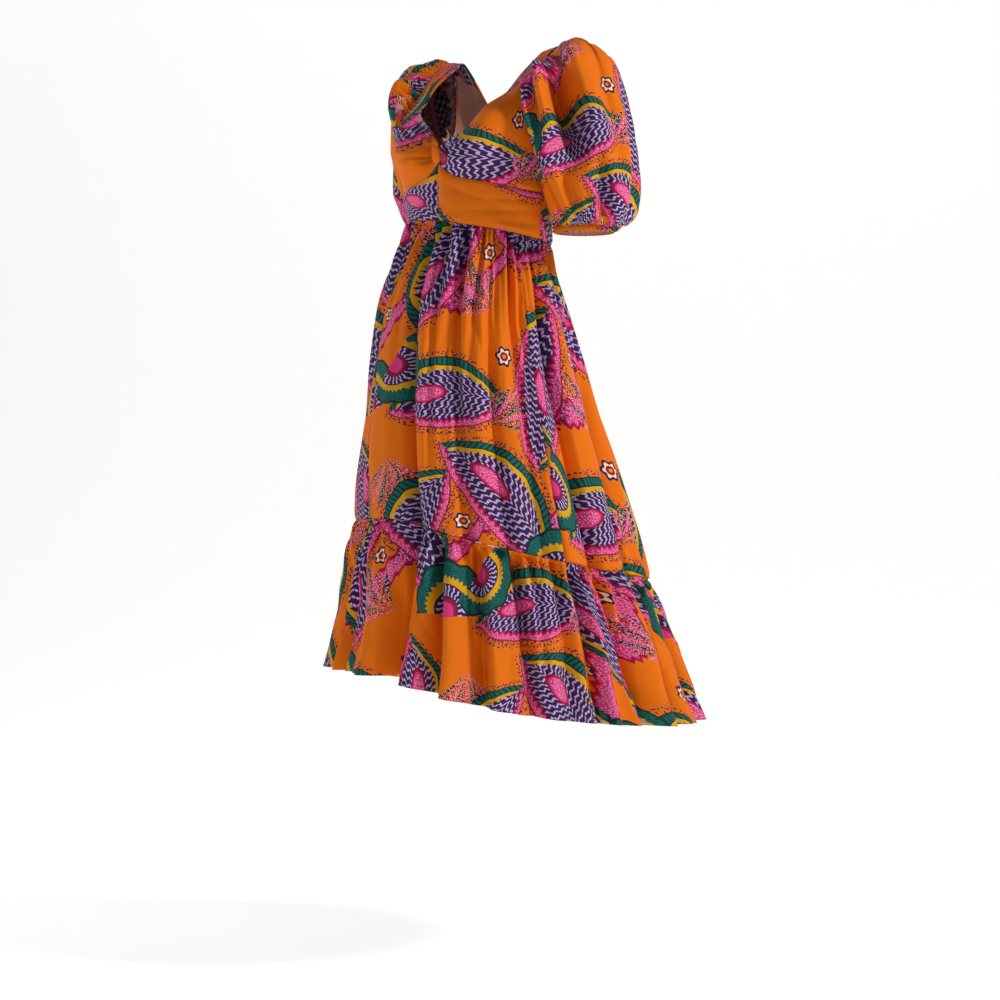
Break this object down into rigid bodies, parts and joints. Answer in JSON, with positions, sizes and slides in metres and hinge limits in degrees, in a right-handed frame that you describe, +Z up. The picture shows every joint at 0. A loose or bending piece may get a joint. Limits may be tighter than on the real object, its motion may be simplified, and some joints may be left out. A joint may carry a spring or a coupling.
{
  "type": "puff sleeve midi dress",
  "caption": "Midi dress in its worn form: sweetheart cups drawn into a centre knot, puff sleeves with narrow cuffs, gathered skirt and a ruffled high-low flounce.",
  "frame": {"origin": "midway between the two shoulder seams, where the wearer's shoulders carry the dress", "axes": "+Z up towards the neck, +X towards the wearer's left sleeve, -Y towards the front"},
  "size_m": [0.657, 0.7196, 1.1834],
  "materials": {
    "printed_poplin": "printed woven cotton, matt with a slight sheen"
  },
  "bodies": {
    "root": {"back_bodice_left": "printed_poplin", "back_bodice_right": "printed_poplin", "centre_knot": "printed_poplin", "cuff_left": "printed_poplin", "cuff_right": "printed_poplin", "flounce_back": "printed_poplin", "flounce_front": "printed_poplin", "front_cup_left": "printed_poplin", "front_cup_right": "printed_poplin", "midriff_left": "printed_poplin", "midriff_right": "printed_poplin", "skirt_back_left": "printed_poplin", "skirt_back_right": "printed_poplin", "skirt_front": "printed_poplin", "sleeve_left": "printed_poplin", "sleeve_right": "printed_poplin"}
  },
  "joints": []
}
